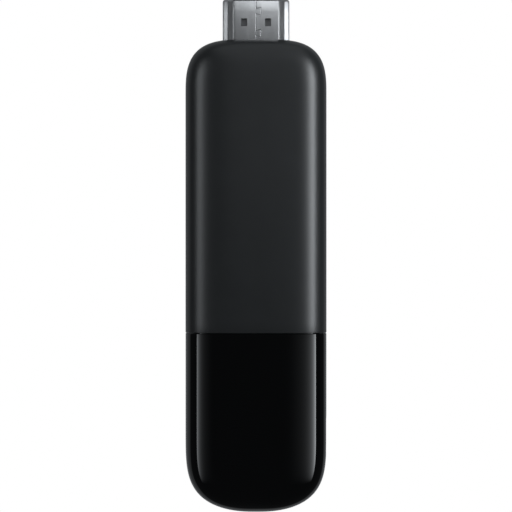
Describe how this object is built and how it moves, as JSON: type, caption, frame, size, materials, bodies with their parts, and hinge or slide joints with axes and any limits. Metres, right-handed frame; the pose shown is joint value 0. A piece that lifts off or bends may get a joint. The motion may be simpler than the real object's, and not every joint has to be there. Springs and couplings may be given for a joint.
{
  "type": "streaming media player",
  "caption": "Slim pill-shaped streaming stick: satin sleeve, gloss end cap, HDMI plug at one end and a micro-USB power inlet in one side.",
  "frame": {"origin": "on the stick's long axis, where the HDMI plug leaves the housing", "axes": "+Z along the stick, the way the plug points; -Y out of the front, the plug's narrow face; +X towards the power inlet"},
  "size_m": [0.0294, 0.0154, 0.1068],
  "materials": {
    "satin_black": "satin, finely textured moulding",
    "gloss_black": "high gloss, piano black",
    "carrier_plastic": "matt moulding",
    "plug_steel": "bright nickel-plated folded steel",
    "insulator_plastic": "matt moulding",
    "contact_gold": "gold-plated stampings",
    "board": "solder resist over laminate",
    "chip": "matt moulded package",
    "shield_tin": "tin-plated pressed sheet",
    "aluminium": "pressed sheet, lightly brushed",
    "thermal_pad": "soft, matt",
    "screw_steel": "bright zinc plate",
    "ferrite": "matt, unglazed"
  },
  "bodies": {
    "root": {"sleeve": "satin_black", "end_cap": "gloss_black", "carrier": "carrier_plastic", "screw_top_left": "screw_steel", "screw_top_right": "screw_steel", "screw_middle_left": "screw_steel", "screw_middle_right": "screw_steel", "hdmi_shell": "plug_steel", "hdmi_insulator": "insulator_plastic", "hdmi_contact_rear_1": "contact_gold", "hdmi_contact_rear_2": "contact_gold", "hdmi_contact_rear_3": "contact_gold", "hdmi_contact_rear_4": "contact_gold", "hdmi_contact_rear_5": "contact_gold", "hdmi_contact_rear_6": "contact_gold", "hdmi_contact_rear_7": "contact_gold", "hdmi_contact_rear_8": "contact_gold", "hdmi_contact_rear_9": "contact_gold", "hdmi_contact_rear_10": "contact_gold", "hdmi_contact_front_1": "contact_gold", "hdmi_contact_front_2": "contact_gold", "hdmi_contact_front_3": "contact_gold", "hdmi_contact_front_4": "contact_gold", "hdmi_contact_front_5": "contact_gold", "hdmi_contact_front_6": "contact_gold", "hdmi_contact_front_7": "contact_gold", "hdmi_contact_front_8": "contact_gold", "hdmi_contact_front_9": "contact_gold", "micro_usb_shell": "shield_tin", "micro_usb_insulator": "insulator_plastic", "micro_usb_contact_1": "contact_gold", "micro_usb_contact_2": "contact_gold", "micro_usb_contact_3": "contact_gold", "micro_usb_contact_4": "contact_gold", "micro_usb_contact_5": "contact_gold", "main_board": "board", "processor_chip": "chip", "memory_chip_left": "chip", "memory_chip_right": "chip", "flash_chip": "chip", "power_chip": "chip", "inductor_1": "ferrite", "inductor_2": "ferrite", "inductor_3": "ferrite", "crystal_processor": "shield_tin", "crystal_radio": "shield_tin", "radio_module_base": "board", "surge_guard_chip": "chip", "shield_can_front": "shield_tin", "shield_can_rear": "shield_tin", "radio_module_can": "shield_tin", "thermal_pad_processor": "thermal_pad", "thermal_pad_flash": "thermal_pad", "thermal_pad_front": "thermal_pad", "thermal_pad_rear": "thermal_pad", "heat_spreader_front": "aluminium", "heat_spreader_rear": "aluminium", "aerial_end": "contact_gold", "aerial_side": "contact_gold"}
  },
  "joints": []
}
